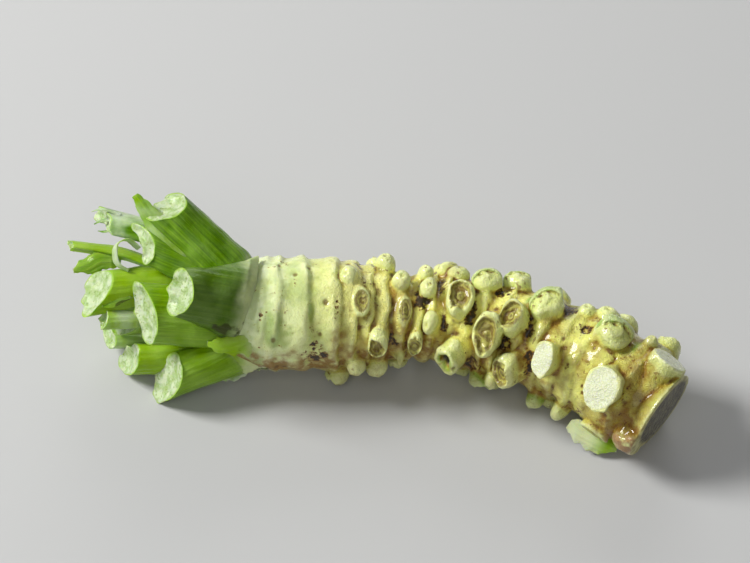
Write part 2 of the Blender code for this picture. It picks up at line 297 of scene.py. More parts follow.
def ring_relief(along, points):
    """Height of the leaf-scar rings: each rises slowly towards the old end, then drops at its lip."""
    wobble = sum(reach * noise(points, size, SEED + seed) for reach, size, seed in RING_WOBBLES)
    phase = np.interp(along + wobble, RINGS, np.arange(len(RINGS)))
    rise = phase - np.floor(phase)
    profile = np.maximum(1 - smooth_step(0, RING_DROP, rise), smooth_step(0.25, 1, rise))
    strength = np.interp(along, *np.array(RING_HEIGHTS).T)
    return strength * profile * np.clip(0.75 + 0.6 * noise(points, 7, SEED + 5), 0.15, 1.3)


def wing_relief(along, clock):
    """Low ridges that join each knob to its neighbours around the root."""
    height = np.zeros_like(along)
    for _, place, angle, length, width, *_ in KNOBS:
        reach = np.abs(around(clock, angle, along)) / (width / 2 + WING_REACH)
        offset = (along - place) / (WING_WIDTH + 0.25 * length)
        offset = np.where(offset > 0, offset * 1.5, offset)
        ridge = WING_HEIGHT * np.exp(-offset**2) * np.exp(-reach**2 * WING_SIDE_FADE)
        height = np.maximum(height, ridge)
    return height


def patches(along, clock, points, table):
    """Noise-edged patches from a table, from 0 to 1."""
    total = np.zeros_like(along)
    ragged = PATCH_RAGGED * noise(points, 2.2, SEED + 11, octaves=2)
    for place, angle, half_length, half_width, strength in table:
        ahead = (along - place) / half_length
        aside = around(clock, angle, along) / half_width
        full = smooth_step(*PATCH_FADE, ahead**2 + aside**2 + ragged)
        total = np.maximum(total, strength * full)
    return total


def pits(along, clock):
    """Small round scars and holes scattered over the skin, from 0 to 1."""
    chance = np.random.default_rng(SEED)
    total = np.zeros_like(along)
    for _ in range(PIT_COUNT):
        place = chance.uniform(*PIT_ALONG)
        angle = chance.uniform(0, 360)
        size = chance.uniform(*PIT_SIZES)
        distance = np.hypot(along - place, around(clock, angle, along) * chance.uniform(0.6, 1))
        near = distance < 3 * size
        total[near] = np.maximum(total[near], hill(distance[near], size))
    return total


def back_knobs():
    """Knobs on the side away from the front, spread evenly by the golden section."""
    first, last = BACK_KNOB_ALONG
    low, high = BACK_KNOB_CLOCK
    knobs = []
    for index in range(BACK_KNOB_COUNT):
        along = first + (last - first) * index / (BACK_KNOB_COUNT - 1)
        clock = low + (high - low) * (index * GOLDEN_SECTION % 1)
        size = BACK_KNOB_SIZES[index % len(BACK_KNOB_SIZES)]
        kind = BACK_KNOB_KINDS[index % len(BACK_KNOB_KINDS)]
        knobs.append((kind, along, clock, *size, BACK_KNOB_LEAN, 0))
    return knobs


KNOBS = FRONT_KNOBS + tuple(back_knobs())


class Skin:
    """Maps of the rhizome's skin over (along, clock): relief in mm, and black, brown and pits."""

    CLOCK_STEPS = 720

    def __init__(self, alongs):
        self.alongs = alongs
        clocks = np.arange(self.CLOCK_STEPS) * 360 / self.CLOCK_STEPS
        along, clock = np.meshgrid(alongs, clocks, indexing="ij")
        points = cylinder_points(along, np.radians(clock))
        self.black = patches(along, clock, points, BLACK_PATCHES)
        self.brown = patches(along, clock, points, BROWN_PATCHES)
        self.green = patches(along, clock, points, GREEN_PATCHES)
        self.pits = pits(along, clock)
        bumps = sum(
            height * noise(points, size, SEED + seed, octaves) for height, size, seed, octaves in BUMPS
        )
        calm = smooth_step(*CALM_CROWN, along) * smooth_step(*CALM_OLD_END, along)
        self.relief = calm * (bumps + ring_relief(along, points) + wing_relief(along, clock))
        self.relief -= calm * (PIT_DEPTH * self.pits + CRUST_DEPTH * self.black)

    def read(self, chart, along, clock):
        """A chart's values at each point, between its rows and columns in proportion."""
        last = len(self.alongs) - 1
        row = np.clip(np.interp(along, self.alongs, np.arange(last + 1)), 0, last - 0.001)
        column = (clock % 360) * self.CLOCK_STEPS / 360
        i = row.astype(int)
        j = column.astype(int) % self.CLOCK_STEPS
        k = (j + 1) % self.CLOCK_STEPS
        s = row - i
        t = column - np.floor(column)
        low = chart[i, j] * (1 - t) + chart[i, k] * t
        high = chart[i + 1, j] * (1 - t) + chart[i + 1, k] * t
        return low * (1 - s) + high * s


# ---- knobs

FOLD_WARP = 0.22  # how far the rings on a dried knob's top wander, as a share of its half width
FOLD_SIZE = 0.5  # how long a fold is, in half widths
FOLD_HEIGHT = 1.8  # mm that the top rises where the warp is one half width
FOLD_RINGS = 15  # radians of ripple from the middle of a dried top to its edge
HOOD_HEIGHT = 0.95
BUD_SCAR = (-0.35, 0.1)  # where a bud's small scar and a ball's dimple lie, in half sizes
BALL_DIMPLE = (-0.15, 0.2)
# How much wider each kind grows over its height, and how softly its top turns into its sides.
KNOB_SWELL = {"ball": 0.04, "bud": 0.05, "cone": -0.75, "cut": 0.05, "tube": 0.0}
PLAIN_SWELL = 0.08
KNOB_SOFTNESS = {"ball": 1.6, "bud": 1.0, "cone": 1.0, "cut": 0.35, "scar": 0.8}
PLAIN_SOFTNESS = 0.9
KNOB_ROUGHNESS = 0.15


class Knob:
    """One side bud or leaf scar, with its own axes in the straightened root.

    Its methods take a and w, a point's shares of the half length and half width, and rho, its share
    of the way out from the knob's middle.
    """

    def __init__(self, row):
        self.kind, self.along, self.clock, length, width, self.height, lean_ahead, lean_around = row
        angle = math.radians(self.clock)
        outward = np.array((0, math.sin(angle), math.cos(angle)))
        turning = np.array((0, math.cos(angle), -math.sin(angle)))
        ahead = np.array((1.0, 0, 0))
        lean = ahead * math.tan(math.radians(lean_ahead)) + turning * math.tan(math.radians(lean_around))
        self.out = unit(outward + lean)
        self.lengthwise = unit(ahead - self.out * self.out[0])
        self.across = np.cross(self.out, self.lengthwise)
        self.start = ahead * self.along + outward * float(body_radius(self.along))
        self.half_length = length / 2
        self.half_width = width / 2
        self.small = min(self.half_length, self.half_width)

    def local(self, points):
        """Each point's a and w, and its height above the body."""
        offset = points - self.start
        return (
            offset @ self.lengthwise / self.half_length,
            offset @ self.across / self.half_width,
            offset @ self.out,
        )

    def hood(self, a, w):
        """1 under the scale leaf that covers a bud's upper side, 0 past its edge."""
        return smooth_step(0.07, -0.07, w + 0.45 * a + 0.25 - 0.5 * a * a)

    def folded(self, a, w, rho):
        """The share of the way out from a knob's middle, warped as its dried tissue has crinkled."""
        flat = np.stack((a, w, np.zeros_like(a)), axis=-1)
        return rho + FOLD_WARP * noise(flat, FOLD_SIZE, int(self.along * 10), octaves=2)

    def from_dimple(self, a, w):
        return np.hypot(a - BALL_DIMPLE[0], w - BALL_DIMPLE[1])

    def bud_scar(self, a, w, size):
        """A narrow hill, twice as long as it is wide, where a bud's small scar lies."""
        return hill(a - BUD_SCAR[0], size) * hill(w - BUD_SCAR[1], size / 2)

    def top(self, a, w, rho):
        """The height of the knob's top over the body."""
        tall = self.height
        if self.kind == "cut":
            return tall + 0.15 * a + 0.12 * np.cos(2.5 * a + 4 * w)
        if self.kind == "cup":
            folded = self.folded(a, w, rho)
            rim = 0.75 * hill(folded - 0.8, 0.16)
            rings = 0.2 * np.cos(folded * FOLD_RINGS) * smooth_step(0.85, 0.6, rho)
            bowl = 0.4 * hill(folded, 0.3) - 0.8 * smooth_step(0.8, 0.3, folded)
            return tall + rim + rings + bowl + FOLD_HEIGHT * (folded - rho) - 0.6 * rho**4
        if self.kind == "scar":
            return tall - 0.8 * hill(rho, 0.4)
        if self.kind == "tube":
            folded = self.folded(a, w, rho)
            rim = 0.6 * hill(folded - 0.72, 0.2)
            hole = 2.6 * smooth_step(0.55, 0.15, folded)
            return tall + rim + 0.12 * np.cos(folded * FOLD_RINGS) - hole
        if self.kind == "bud":
            inner = 0.45 * smooth_step(-0.05, 0.05, 0.5 - np.hypot(a + 0.1, w - 0.3))
            dome = -0.4 - 0.38 * self.small * rho**2
            return tall + dome + HOOD_HEIGHT * self.hood(a, w) + inner - 0.8 * self.bud_scar(a, w, 0.2)
        away = self.from_dimple(a, w)
        dimple = 0.25 * hill(away - 0.42, 0.18) - 0.5 * hill(away, 0.26)
        return tall + 0.3 - 0.5 * self.small * rho**2 + dimple

    def field(self, points):
        """Below zero inside the knob. It is close to a distance near the surface."""
        a, w, h = self.local(points)
        share = np.clip(h / self.height, -1, 1.3)
        swell = KNOB_SWELL.get(self.kind, PLAIN_SWELL)
        wide = 1 + swell * share + KNOB_ROUGHNESS * noise(points, 2.8, int(self.along * 10))
        rho = np.hypot(a, w) / np.maximum(wide, 0.2)
        side = (rho - 1) * self.small
        softness = KNOB_SOFTNESS.get(self.kind, PLAIN_SOFTNESS)
        return smooth_max(side, h - self.top(a, w, rho), softness)


def smooth_max(first, second, soft):
    blend = np.maximum(soft - np.abs(first - second), 0) / soft
    return np.maximum(first, second) + blend * blend * soft / 4


def smooth_min(first, second, soft):
    return -smooth_max(-first, -second, soft)


# ---- the rhizome's surface

KNOB_FILLET = 0.8
KNOB_BOX = 11.0  # half the side of the cube of grid that one knob is worked out in
OLD_END_EDGE = 0.5
GROUND_EDGE = 0.6
GROUND_CLEARANCE = 0.02
KNOB_CHARTS = ("knob", "cut", "brown_top", "green", "hole", "stub", "seam", "rings")
GROOVE_DEPTH = 0.12  # mm under the smoothed surface that count as a full groove or crevice
CREVICE_DEPTH = 0.8


def plane_field(straight_grid, normal, point):
    """Distance past a plane in the tables' axes, for a grid in the straightened root."""
    along, front, up = straight_grid
    normal = unit(normal)
    middle = (SPINE_CURVE.middle(along) - point) @ normal
    forward = SPINE_CURVE.read(SPINE_CURVE.front, along) @ normal
    upward = SPINE_CURVE.read(SPINE_CURVE.up, along) @ normal
    return (
        middle[:, None, None]
        + forward[:, None, None] * front[None, :, None]
        + upward[:, None, None] * up[None, None, :]
    )


def rhizome_field():
    """The straightened rhizome as a grid of near-distances, below zero inside."""
    along = np.arange(*GRID_ALONG, CELL)
    reach = np.arange(-GRID_REACH, GRID_REACH + CELL, CELL)
    grid = (along, reach, reach)
    skin = Skin(along)
    front, up = np.meshgrid(reach, reach, indexing="ij")
    radius = np.hypot(front, up)
    clock = np.degrees(np.arctan2(front, up)) % 360
    column = clock * Skin.CLOCK_STEPS / 360
    left = column.astype(int) % Skin.CLOCK_STEPS
    share = (column - np.floor(column))[None]
    right = (left + 1) % Skin.CLOCK_STEPS
    relief = skin.relief[:, left] * (1 - share) + skin.relief[:, right] * share
    field = radius[None] - body_radius(along)[:, None, None] - relief
    for row in KNOBS:
        knob = Knob(row)
        centre = knob.start + knob.out * knob.height / 2
        spans = [
            slice(*np.searchsorted(axis, (middle - KNOB_BOX, middle + KNOB_BOX)))
            for axis, middle in zip(grid, centre)
        ]
        axes = [axis[span] for axis, span in zip(grid, spans)]
        box = np.stack(np.meshgrid(*axes, indexing="ij"), axis=-1)
        inside = tuple(spans)
        field[inside] = smooth_min(field[inside], knob.field(box), KNOB_FILLET)
    cut = plane_field(grid, OLD_END_NORMAL, SPINE_CURVE.middle(OLD_END_ALONG))
    field = smooth_max(field, cut, OLD_END_EDGE)
    floor = plane_field(grid, (0, 0, -1), np.array((0, 0, GROUND_CLEARANCE)))
    return smooth_max(field, floor, GROUND_EDGE), grid, skin


def gather(index, values, count):
    """The sums of the rows of values that belong to each of a count of points."""
    return np.stack([np.bincount(index, values[:, axis], minlength=count) for axis in range(3)], axis=1)


def surface_nets(field, grid):
    """Vertices and four-sided faces of the surface where a grid of values crosses zero."""
    inside = field < 0
    cells = np.array(field.shape) - 1
    stride = np.array((cells[1] * cells[2], cells[2], 1))
    owners = []
    places = []
    faces = []
    for axis in range(3):
        low = [slice(None)] * 3
        high = [slice(None)] * 3
        low[axis] = slice(0, -1)
        high[axis] = slice(1, None)
        crossing = inside[tuple(low)] != inside[tuple(high)]
        corner = np.argwhere(crossing)
        near = field[tuple(low)][crossing]
        far = field[tuple(high)][crossing]
        place = corner.astype(float)
        place[:, axis] += near / (near - far)
        first, second = [other for other in range(3) if other != axis]
        around_edge = []
        for one, two in ((0, 0), (1, 0), (1, 1), (0, 1)):
            cell = corner.copy()
            cell[:, first] -= one
            cell[:, second] -= two
            owner = cell @ stride
            owners.append(owner)
            places.append(place)
            around_edge.append(owner)
        quad = np.stack(around_edge, axis=1)
        outward = (near < 0) == (axis == 1)
        quad[~outward] = quad[~outward][:, ::-1]
        faces.append(quad)
    used, index = np.unique(np.concatenate(owners), return_inverse=True)
    middle = gather(index, np.concatenate(places), len(used)) / np.bincount(index)[:, None]
    quads = np.searchsorted(used, np.concatenate(faces))
    steps = np.array([axis[1] - axis[0] for axis in grid])
    return middle * steps + np.array([axis[0] for axis in grid]), quads


def relax(points, quads, times, weight):
    """Moves each point towards the mean of its neighbours."""
    ends = np.concatenate([quads[:, [i, (i + 1) % 4]] for i in range(4)])
    count = np.bincount(ends[:, 0], minlength=len(points))[:, None]
    points = points.copy()
    for _ in range(times):
        total = gather(ends[:, 0], points[ends[:, 1]], len(points))
        points += weight * (total / count - points)
    return points


def mesh_normals(points, quads):
    """Unit normals at each point of a surface of four-sided faces."""
    one, two, three, four = (points[quads[:, i]] for i in range(4))
    across = np.cross(three - one, four - two)
    return unit(gather(quads.ravel(), np.repeat(across, 4, axis=0), len(points)) + TINY)


def add_object(name, data):
    obj = bpy.data.objects.new(name, data)
    bpy.context.scene.collection.objects.link(obj)
    return obj


def make_mesh(name, points, faces, charts):
    """A smooth-shaded object from points in the tables' axes, with named values at its points."""
    mesh = bpy.data.meshes.new(name)
    mesh.from_pydata(((points - MIDDLE) * MM).tolist(), [], faces.tolist())
    for title, values in charts.items():
        layer = mesh.attributes.new(title, "FLOAT", "POINT")
        layer.data.foreach_set("value", np.ascontiguousarray(values, np.float32))
    mesh.shade_smooth()
    return add_object(name, mesh)


def knob_charts(straight):
    """Where each point lies on a knob: on its sides, and on a cut, brown, green or hollow top."""
    charts = {title: np.zeros(len(straight)) for title in KNOB_CHARTS}
    for row in KNOBS:
        knob = Knob(row)
        near = np.flatnonzero(np.abs(straight - knob.start).max(axis=1) < KNOB_BOX)
        a, w, h = knob.local(straight[near])
        rho = np.hypot(a, w)
        folded = knob.folded(a, w, rho)
        on_top = smooth_step(1.0, 0.45, knob.top(a, w, rho) - h) * smooth_step(1.02, 0.93, rho)
        body = smooth_step(0.4, 2.2, h) * smooth_step(1.7, 1.15, rho)
        found = {"knob": body}
        if knob.kind == "cut":
            found["cut"] = on_top
        if knob.kind in ("cup", "scar"):
            found["brown_top"] = on_top * smooth_step(0.95, 0.7, rho)
        if knob.kind == "bud":
            hood = knob.hood(a, w)
            found["green"] = body * (0.25 + 0.75 * hood) * smooth_step(-0.2, 0.5, h / knob.height)
            found["seam"] = 4 * hood * (1 - hood) * body
            found["hole"] = 0.6 * knob.bud_scar(a, w, 0.26) * body
        if knob.kind == "ball":
            found["hole"] = 0.45 * body * hill(knob.from_dimple(a, w), 0.2) * smooth_step(0, 1, h)
        if knob.kind == "stub":
            found["stub"] = body
        if knob.kind == "tube":
            found["hole"] = smooth_step(0.5, 0.2, folded) * smooth_step(-3, 0.5, h - knob.height + 3)
            found["green"] = body * smooth_step(1.1, 0.5, rho)
        for title, values in found.items():
            charts[title][near] = np.maximum(charts[title][near], values)
        charts["rings"][near] = np.where(on_top > 0.1, folded, charts["rings"][near])
    return charts


def make_rhizome():
    field, grid, skin = rhizome_field()
    straight, quads = surface_nets(field, grid)
    along, front, up = straight.T
    clock = np.degrees(np.arctan2(front, up))
    charts = knob_charts(straight)
    free = 1 - charts["knob"]
    charts["black"] = skin.read(skin.black, along, clock) * free
    charts["brown"] = skin.read(skin.brown, along, clock) * (1 - 0.7 * charts["knob"])
    charts["green_skin"] = skin.read(skin.green, along, clock) * free
    charts["pit"] = skin.read(skin.pits, along, clock) * free
    charts["along"] = along
    points = SPINE_CURVE.bend(straight)
    past_cut = (points - SPINE_CURVE.middle(OLD_END_ALONG)) @ unit(OLD_END_NORMAL)
    charts["old_end"] = smooth_step(-0.45, -0.15, past_cut)
    depth = body_radius(along) - np.hypot(front, up)
    charts["rim"] = charts["old_end"] * smooth_step(OLD_END_RIM, 0.4 * OLD_END_RIM, depth)
    outward = mesh_normals(points, quads)
    calm = relax(points, quads, 6, 0.6)
    charts["groove"] = np.clip(((calm - points) * outward).sum(axis=1) / GROOVE_DEPTH, -1, 1)
    calm = relax(calm, quads, 50, 0.6)
    charts["crevice"] = np.clip(((calm - points) * outward).sum(axis=1) / CREVICE_DEPTH, -1, 1)
    return make_mesh("rhizome_surface", points, quads, charts)


# ---- leaf stalks

# Each runs along the middle of its back from "path"'s first point in the crown to its cut tip, and
# "out" is the way its rounded back faces. A section is a crescent: width across, thickness at the
# back and the angle that it wraps through, each given at even steps from base to tip. "cut" is the
# way the knife's plane faces. The rest is what differs from PLAIN.
PLAIN = dict(
    horn=0.35,  # a crescent's thickness at its edges, as a share of that at its back
    rooted=2.6,  # how deep its base lies in the crown
    fray=0.2,  # how far the cut edge wanders ahead, and the side edges aside
    ragged=0,
    detail=1.0,  # scales the ribs, dents and grain
    stain_and_shade=0.25,  # how dark the low side of its base is smeared, partly dirt and partly painted shade where it meets the crown
    pale=0.16,  # the share of its length, from the base, that is whitish
    bloom=0.1,  # shares of a pale bloom, of yellow-green, and of dark green painted over it as shade
    lime=0.0,
    painted_shade=0.0,
)
KNIFE = (-0.65, -0.43, 0.62)
LOW_KNIFE = (-0.85, -0.35, 0.35)
STALKS = (
    # leaf_stalk_front is painted dark green as shade over its sides, which lie in shadow.
    dict(name="leaf_stalk_front", path=((-34, -24, 34), (-54, -24, 40)), out=(0.6, -0.65, 0.42),
         width=(27, 18, 11.5), thick=(2.4, 5, 9.5), wrap=(120, 125, 120), cut=KNIFE, horn=0.55,
         stain_and_shade=0.9, pale=0.27, painted_shade=0.65, rooted=3.6),
    dict(name="leaf_stalk_top", path=((-38, -10, 32), (-59, 4, 45)), out=(0.35, -0.37, 0.86),
         width=(16, 13, 10.5), thick=(4, 7, 9), wrap=(120, 120), cut=(-0.3, 0.15, 0.91), horn=0.6),
    dict(name="leaf_stalk_front_low", path=((-36, -27, 17), (-60, -29, 8.5)), out=(0.4, -0.75, 0.3),
         width=(15, 12, 11.5), thick=(3, 8, 12), wrap=(110, 120, 125), cut=(-0.8, -0.42, 0.42), horn=0.5,
         lime=0.35),
    dict(name="leaf_stalk_front_inner", path=((-40, -23, 28), (-65, -21, 28)), out=(0.35, -0.6, 0.67),
         width=(17, 16.5), thick=(3, 6, 9.5), wrap=(100, 105), cut=(-0.8, -0.52, 0.36), horn=0.5,
         lime=0.25),
    dict(name="leaf_stalk_top_inner", path=((-42, -10, 32), (-65, -3.5, 38.5)), out=(0.5, -0.3, 0.8),
         width=(14, 11), thick=(3, 4.5), wrap=(110, 150), cut=KNIFE, horn=0.5),
    dict(name="leaf_stalk_top_back", path=((-44, 0, 30), (-61, 5.9, 33), (-79, 11, 34)),
         out=(0.2, 0.45, 0.8), width=(13, 11), thick=(3, 5), wrap=(120, 150), cut=LOW_KNIFE,
         horn=0.5, bloom=0.9, fray=1.1),
    dict(name="leaf_stalk_low", path=((-42, -21, 12), (-56.5, -22.4, 9), (-71.5, -21, 7.5)),
         out=(0.1, -0.94, -0.3), width=(13, 12), thick=(3, 9), wrap=(110, 120), cut=LOW_KNIFE,
         horn=0.5, lime=0.7),
    dict(name="leaf_stalk_back", path=((-43, 1, 13), (-56, 5.8, 8), (-69, 9, 4)), out=(0.1, 0.8, -0.5),
         width=(15, 12), thick=(3, 5), wrap=(120, 130), cut=LOW_KNIFE),
    dict(name="leaf_stalk_low_inner", path=((-48, -11, 7), (-62.5, -11.2, 6.5), (-78.5, -12, 7.5)),
         out=(0, -0.2, -0.95), width=(13, 9), thick=(3, 7), wrap=(110, 120), cut=LOW_KNIFE,
         horn=0.6, bloom=0.5, lime=0.7),
    dict(name="leaf_stalk_heart_large", path=((-53, -8, 27), (-66, -9, 27), (-80, -10.6, 25.8)),
         out=(0, -0.2, 0.96), width=(12, 12), thick=(6, 9.5), wrap=(140, 150), cut=(-0.7, -0.15, 0.7),
         horn=0.5, lime=0.7),
    dict(name="leaf_stalk_heart_small", path=((-54, -15, 18), (-71, -15, 17)), out=(0, -0.9, 0.2),
         width=(9, 8), thick=(3, 5.5), wrap=(100, 110), cut=KNIFE, horn=0.6, lime=0.8, bloom=0.5),
    dict(name="young_leaf_stalk", path=((-56, -3, 23), (-72.5, 2, 27.2), (-89, 5, 28)), out=(0, 0.5, 0.8),
         width=(8, 5, 3.6), thick=(4, 3), wrap=(80, 60), cut=LOW_KNIFE, lime=0.5),
)
# Thin torn leaf bases and membranes, made the same way. Where a path curls, the curl's "axis" says
# which way its back faces.
TORN_PIECES = (
    dict(name="stalk_margin", path=((-52, -9.5, 34.3), (-58.4, -4, 39.4), (-63.4, 1.1, 43), (-68.5, 7, 47)),
         out=(-0.5, -0.3, 0.8), width=(4, 6.5, 7.5, 6, 1.5), thick=(1.6, 1), wrap=(60, 80), ragged=0.4,
         lime=0.4, bloom=0.5),
    dict(name="curled_membrane",
         path=((-67.5, -3, 35.5), (-70.5, -1.9, 37.8), (-73.6, -2.5, 37), (-74.6, -4.5, 35),
               (-73.6, -6.8, 33), (-70.5, -8.2, 31.8)),
         axis=(-0.55, 0.4, -0.73), width=(3, 3.8, 3.8, 3.6, 2), thick=(0.7, 0.7), wrap=(50, 50),
         bloom=0.9, lime=0.5, ragged=0.2, rooted=0),
    dict(name="heart_core", path=((-46, -11, 22), (-60, -11.5, 22.6), (-75, -12.5, 22.2)),
         out=(0, -0.3, 0.95), width=(16, 14, 10), thick=(12, 9, 6), wrap=(120, 120), cut=(-0.8, -0.3, 0.5),
         horn=0.8, fray=1.5, stain_and_shade=0.6),
    dict(name="young_leaf_flap", path=((-74, 0, 27), (-79.5, -0.3, 27.6), (-83, -1.6, 26.6), (-87.4, -3, 26)),
         out=(0.1, -0.5, 0.85), width=(3, 5, 6.5, 5, 1.5), thick=(1, 0.6), wrap=(70, 110), ragged=0.9),
    # heart_membrane's heavy dark smear is painted shade, for the dark gap it sits in.
    dict(name="heart_membrane", path=((-68, -14, 28), (-74, -15.5, 27), (-78, -16, 25.5)),
         out=(-0.2, -0.6, 0.8), width=(2, 3, 1), thick=(0.4, 0.4), wrap=(60, 60), ragged=0.8, stain_and_shade=1.2),
    dict(name="heart_shoot", path=((-66, -17, 21), (-78, -17.5, 21.3)), out=(0, -0.7, 0.7), width=(5, 5.5),
         thick=(3, 4.4), wrap=(90, 110), cut=(-0.75, -0.3, 0.55), bloom=0.8, lime=0.8),
    dict(name="torn_sheath_green", path=((-29, -27.6, 26), (-36, -29.2, 25), (-42, -30, 24), (-47, -28, 23)),
         out=(-0.1, -0.9, 0.5), width=(5, 7, 5, 1.5), thick=(0.8, 1), wrap=(60, 50), ragged=0.9, lime=0.7,
         rooted=1, pale=0.45, stain_and_shade=0.5),
    dict(name="torn_sheath_low", path=((-27, -27.6, 15), (-34, -29, 15.5), (-40, -28.5, 16), (-46, -26, 16)),
         out=(-0.1, -0.98, 0.1), width=(5, 8, 7, 2), thick=(0.8, 1.2), wrap=(60, 60), ragged=1.1, lime=0.6,
         rooted=1, pale=0.6, stain_and_shade=0.8),
    dict(name="torn_sheath_tip", path=((-38, -25, 8.5), (-41.5, -27, 8), (-45, -28.5, 8.6)),
         out=(0, -0.8, 0.4), width=(5, 5, 1), thick=(1, 0.6), wrap=(60, 60), ragged=0.8, rooted=0,
         bloom=1.4, stain_and_shade=0.3),
    dict(name="old_end_flap", path=((55, -43.5, 6.2), (59, -46.8, 5.4), (64, -49, 4.5), (68.5, -50.2, 3.7)),
         out=(-0.25, -0.65, 0.75), width=(2.5, 6, 7.5, 6, 3), thick=(0.9, 0.7), wrap=(50, 70), ragged=0.8,
         rooted=0, bloom=0.5, lime=0.8, pale=0.7),
    dict(name="old_end_strip", path=((61, -44, 9), (60.5, -46.5, 6), (61.5, -48.5, 3)), out=(-0.4, -0.7, 0.5),
         width=(2.5, 3, 1), thick=(0.6, 0.5), wrap=(60, 80), ragged=0.5, rooted=0, bloom=1.6),
)
# Shreds at the tip of leaf_stalk_top_back: (path, width).
FRAYED_STRANDS = (
    (((-74, 9.8, 36), (-79, 10.8, 37.4), (-82.5, 10.2, 37)), (2.4, 1.4, 0.4)),
    (((-76, 9.6, 34.5), (-79.5, 9.6, 34), (-82, 9, 33)), (3, 2, 0.5)),
    (((-75, 8.6, 32), (-79, 8, 31), (-81, 8, 31.2)), (2.6, 1.8, 0.5)),
)
# Steps in each stretch of a path, along a stalk, across its back, around a horn and through its tip.
PATH_STEPS = 30
STALK_STEPS = 90
BACK_STEPS = 56
HORN_STEPS = 8
DEPTH_STEPS = 14
CORNER_POWER = 9  # how sharply a crescent's horns are rounded
SLANT_POWER = 3  # how gradually the sections turn from square to the knife's slant
CROWDING = 0.85  # spaces a stalk's rings closer together towards its tip
ROOTED_SHARE = 0.16  # how far along a stalk its base comes out of the crown
RIB_SPACING = 1.5
RIB_HEIGHT = 0.07
DENT_HEIGHT = 0.28
GRAIN_HEIGHT = 0.1
LUMP_HEIGHT = 0.35
RIM_HEIGHT = 0.2
DISH_DEPTH = 0.8  # how far a cut face has sunk in its middle
LIP_WAVE = 0.5


def frayed_strands():
    """Rows for the shreds, which differ only in their paths and widths."""
    return tuple(
        dict(name=f"frayed_strand_{number}", path=path, width=width, out=(0, 0.5, 0.8), thick=(1, 0.3),
             wrap=(90, 90), rooted=0, detail=0.2, bloom=1)
        for number, (path, width) in enumerate(FRAYED_STRANDS, 1)
    )


def spread(values, t):
    """A value given at even steps, read in proportion at each t from 0 to 1."""
    return np.interp(t, np.linspace(0, 1, len(values)), values)


def crescent(across, depth, width, thick, wrap, horn):
    """(across, out) in mm for shares -1..1 across a crescent and 0..1 from its back to its hollow."""
    half = np.radians(wrap) / 2
    radius = width / 2 / np.sin(half)
    share = 1 - (1 - horn) * across**2
    bulge = np.sqrt(np.clip(1 - (2 * depth - 1) ** 2, 0, 1)) * share * thick / 2 / radius
    angle = half * across
    inward = angle * np.minimum(1, 0.8 * radius / thick)
    side = bulge * radius * np.sign(across) * np.abs(across) ** CORNER_POWER
    return (
        radius * np.sin(angle) - thick * share * depth * np.sin(inward) + side * np.cos(inward),
        radius * (np.cos(angle) - 1) - thick * share * depth * np.cos(inward) - side * np.sin(inward)
        + thick / 2,
    )


def outline():
    """Shares (across, depth) once around a crescent: its back, a horn, its hollow, the other horn."""
    back = np.linspace(-1, 1, BACK_STEPS + 1)
    horn = (1 - np.cos(np.linspace(0, math.pi, HORN_STEPS + 1))) / 2
    ends = np.ones(HORN_STEPS)
    across = np.concatenate((back[:-1], ends, back[:0:-1], -ends))
    depth = np.concatenate((np.zeros(BACK_STEPS), horn[:-1], np.ones(BACK_STEPS), horn[:0:-1]))
    return across, depth


